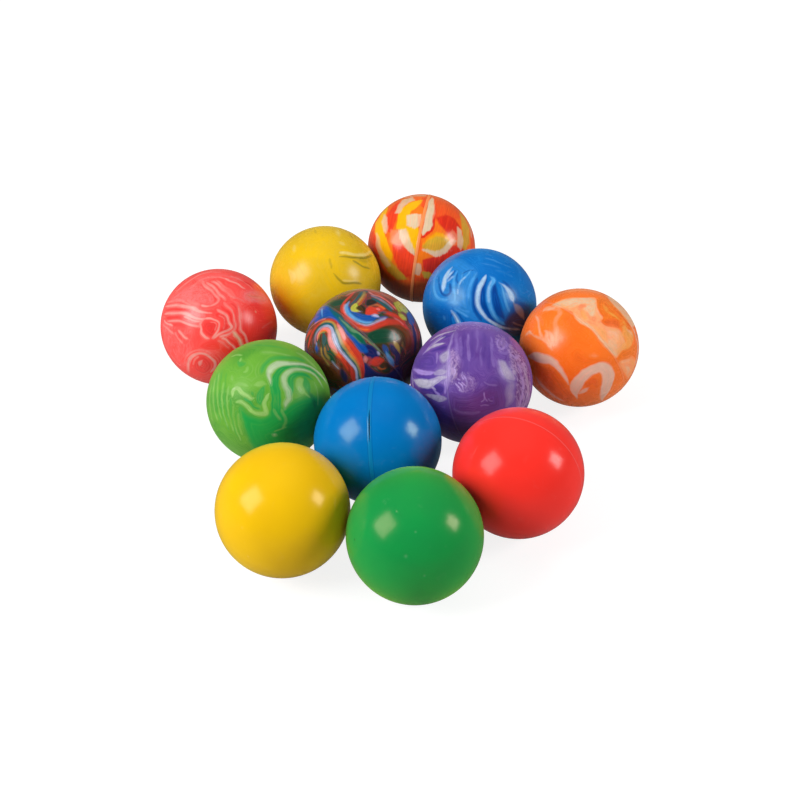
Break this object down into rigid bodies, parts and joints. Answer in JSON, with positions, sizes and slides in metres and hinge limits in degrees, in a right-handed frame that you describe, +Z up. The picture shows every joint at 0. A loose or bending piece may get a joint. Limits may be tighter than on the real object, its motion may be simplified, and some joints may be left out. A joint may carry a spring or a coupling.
{
  "type": "bouncy ball set",
  "caption": "Set of loose solid rubber bouncy balls of one size, plain and marbled, each with a fine moulded parting line, lying together on a flat surface.",
  "frame": {"origin": "on the surface that the balls lie on, below the middle of the box round all the balls", "axes": "+Z up, +Y away from the viewer along the set's longer side, +X to the viewer's right"},
  "size_m": [0.1834, 0.206, 0.0451],
  "materials": {
    "patchwork_ball": "smooth moulded rubber, satin gloss",
    "yellow_marble_ball": "smooth moulded rubber, satin gloss",
    "blue_marble_ball": "smooth moulded rubber, satin gloss",
    "pink_marble_ball": "smooth moulded rubber, satin gloss",
    "rainbow_ball": "smooth moulded rubber, satin gloss",
    "orange_marble_ball": "smooth moulded rubber, satin gloss",
    "purple_marble_ball": "smooth moulded rubber, satin gloss",
    "green_marble_ball": "smooth moulded rubber, satin gloss",
    "blue_ball": "smooth moulded rubber, satin gloss",
    "red_ball": "smooth moulded rubber, satin gloss",
    "yellow_ball": "smooth moulded rubber, satin gloss",
    "green_ball": "smooth moulded rubber, satin gloss"
  },
  "bodies": {
    "patchwork_ball": {"patchwork_ball": "patchwork_ball"},
    "yellow_marble_ball": {"yellow_marble_ball": "yellow_marble_ball"},
    "blue_marble_ball": {"blue_marble_ball": "blue_marble_ball"},
    "pink_marble_ball": {"pink_marble_ball": "pink_marble_ball"},
    "rainbow_ball": {"rainbow_ball": "rainbow_ball"},
    "orange_marble_ball": {"orange_marble_ball": "orange_marble_ball"},
    "purple_marble_ball": {"purple_marble_ball": "purple_marble_ball"},
    "green_marble_ball": {"green_marble_ball": "green_marble_ball"},
    "blue_ball": {"blue_ball": "blue_ball"},
    "red_ball": {"red_ball": "red_ball"},
    "yellow_ball": {"yellow_ball": "yellow_ball"},
    "green_ball": {"green_ball": "green_ball"}
  },
  "joints": [
    {"name": "patchwork_lift", "type": "slide", "parent": "rainbow_ball", "child": "patchwork_ball", "axis": [0, 0, 1], "range_m": [0, 0.1]},
    {"name": "yellow_marble_lift", "type": "slide", "parent": "rainbow_ball", "child": "yellow_marble_ball", "axis": [0, 0, 1], "range_m": [0, 0.1]},
    {"name": "blue_marble_lift", "type": "slide", "parent": "rainbow_ball", "child": "blue_marble_ball", "axis": [0, 0, 1], "range_m": [0, 0.1]},
    {"name": "pink_marble_lift", "type": "slide", "parent": "rainbow_ball", "child": "pink_marble_ball", "axis": [0, 0, 1], "range_m": [0, 0.1]},
    {"name": "orange_marble_lift", "type": "slide", "parent": "rainbow_ball", "child": "orange_marble_ball", "axis": [0, 0, 1], "range_m": [0, 0.1]},
    {"name": "purple_marble_lift", "type": "slide", "parent": "rainbow_ball", "child": "purple_marble_ball", "axis": [0, 0, 1], "range_m": [0, 0.1]},
    {"name": "green_marble_lift", "type": "slide", "parent": "rainbow_ball", "child": "green_marble_ball", "axis": [0, 0, 1], "range_m": [0, 0.1]},
    {"name": "blue_lift", "type": "slide", "parent": "rainbow_ball", "child": "blue_ball", "axis": [0, 0, 1], "range_m": [0, 0.1]},
    {"name": "red_lift", "type": "slide", "parent": "rainbow_ball", "child": "red_ball", "axis": [0, 0, 1], "range_m": [0, 0.1]},
    {"name": "yellow_lift", "type": "slide", "parent": "rainbow_ball", "child": "yellow_ball", "axis": [0, 0, 1], "range_m": [0, 0.1]},
    {"name": "green_lift", "type": "slide", "parent": "rainbow_ball", "child": "green_ball", "axis": [0, 0, 1], "range_m": [0, 0.1]}
  ]
}
